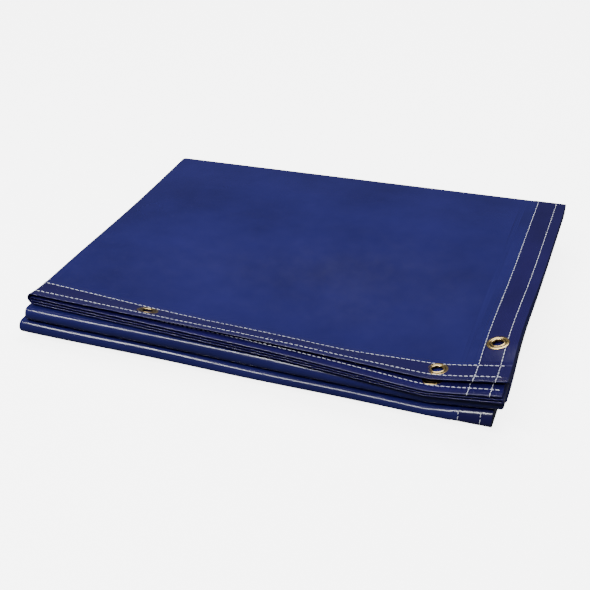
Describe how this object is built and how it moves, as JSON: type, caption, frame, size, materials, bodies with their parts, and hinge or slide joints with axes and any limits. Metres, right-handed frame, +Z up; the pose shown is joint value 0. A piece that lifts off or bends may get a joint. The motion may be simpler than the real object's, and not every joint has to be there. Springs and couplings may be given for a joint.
{
  "type": "welding curtain",
  "caption": "Hemmed vinyl-laminated welding curtain with brass grommets, folded flat into a rectangular stack for storage.",
  "frame": {"origin": "centre of the folded stack's bounding box, on the surface it rests on", "axes": "+X along the front edge towards the hemmed side edges, +Y from the front edge to the back folds, +Z up"},
  "size_m": [0.4691, 0.3702, 0.0457],
  "materials": {
    "curtain": "satin vinyl-laminated polyester cloth, blue",
    "hem": "satin vinyl-laminated polyester cloth, three plies, blue",
    "thread": "matt white polyester sewing thread",
    "eyelet_brass": "polished",
    "washer_brass": "polished"
  },
  "bodies": {
    "bottom_leaves": {"leaf_4_bottom": "curtain", "leaf_5_tucked": "curtain", "bottom_hem": "hem", "front_fold_lower": "curtain", "back_fold_lower": "curtain", "right_side_4_eyelet": "eyelet_brass", "right_side_4_washer": "washer_brass", "left_side_4_eyelet": "eyelet_brass", "left_side_4_washer": "washer_brass", "right_side_5_eyelet": "eyelet_brass", "right_side_5_washer": "washer_brass", "left_side_5_eyelet": "eyelet_brass", "left_side_5_washer": "washer_brass"},
    "third_leaf": {"leaf_3": "curtain", "front_fold_middle": "curtain", "right_side_3_eyelet": "eyelet_brass", "right_side_3_washer": "washer_brass", "left_side_3_eyelet": "eyelet_brass", "left_side_3_washer": "washer_brass"},
    "second_leaf": {"leaf_2": "curtain", "back_fold_upper": "curtain", "right_side_2_eyelet": "eyelet_brass", "right_side_2_washer": "washer_brass", "left_side_2_eyelet": "eyelet_brass", "left_side_2_washer": "washer_brass"},
    "top_leaf": {"leaf_1_top": "curtain", "top_hem": "hem", "top_hem_thread_outer": "thread", "top_hem_thread_inner": "thread", "side_hem_thread_outer": "thread", "side_hem_thread_inner": "thread", "right_side_1_eyelet": "eyelet_brass", "right_side_1_washer": "washer_brass", "left_side_1_eyelet": "eyelet_brass", "left_side_1_washer": "washer_brass", "top_hem_1_eyelet": "eyelet_brass", "top_hem_1_washer": "washer_brass", "top_hem_2_eyelet": "eyelet_brass", "top_hem_2_washer": "washer_brass", "top_hem_3_eyelet": "eyelet_brass", "top_hem_3_washer": "washer_brass", "top_hem_4_eyelet": "eyelet_brass", "top_hem_4_washer": "washer_brass", "top_hem_5_eyelet": "eyelet_brass", "top_hem_5_washer": "washer_brass", "top_hem_6_eyelet": "eyelet_brass", "top_hem_6_washer": "washer_brass", "top_hem_7_eyelet": "eyelet_brass", "top_hem_7_washer": "washer_brass"}
  },
  "joints": [
    {"name": "lower_back_fold", "type": "hinge", "parent": "bottom_leaves", "child": "third_leaf", "pos_m": [0, 0.18552, 0.0122], "axis": [-1, 0, 0], "range_deg": [0, 180], "deforming": ["back_fold_lower"]},
    {"name": "middle_front_fold", "type": "hinge", "parent": "third_leaf", "child": "second_leaf", "pos_m": [0, -0.1845, 0.02457], "axis": [1, 0, 0], "range_deg": [0, 180], "deforming": ["front_fold_middle"]},
    {"name": "upper_back_fold", "type": "hinge", "parent": "second_leaf", "child": "top_leaf", "pos_m": [0, 0.1867, 0.0352], "axis": [-1, 0, 0], "range_deg": [0, 180], "deforming": ["back_fold_upper"]}
  ]
}
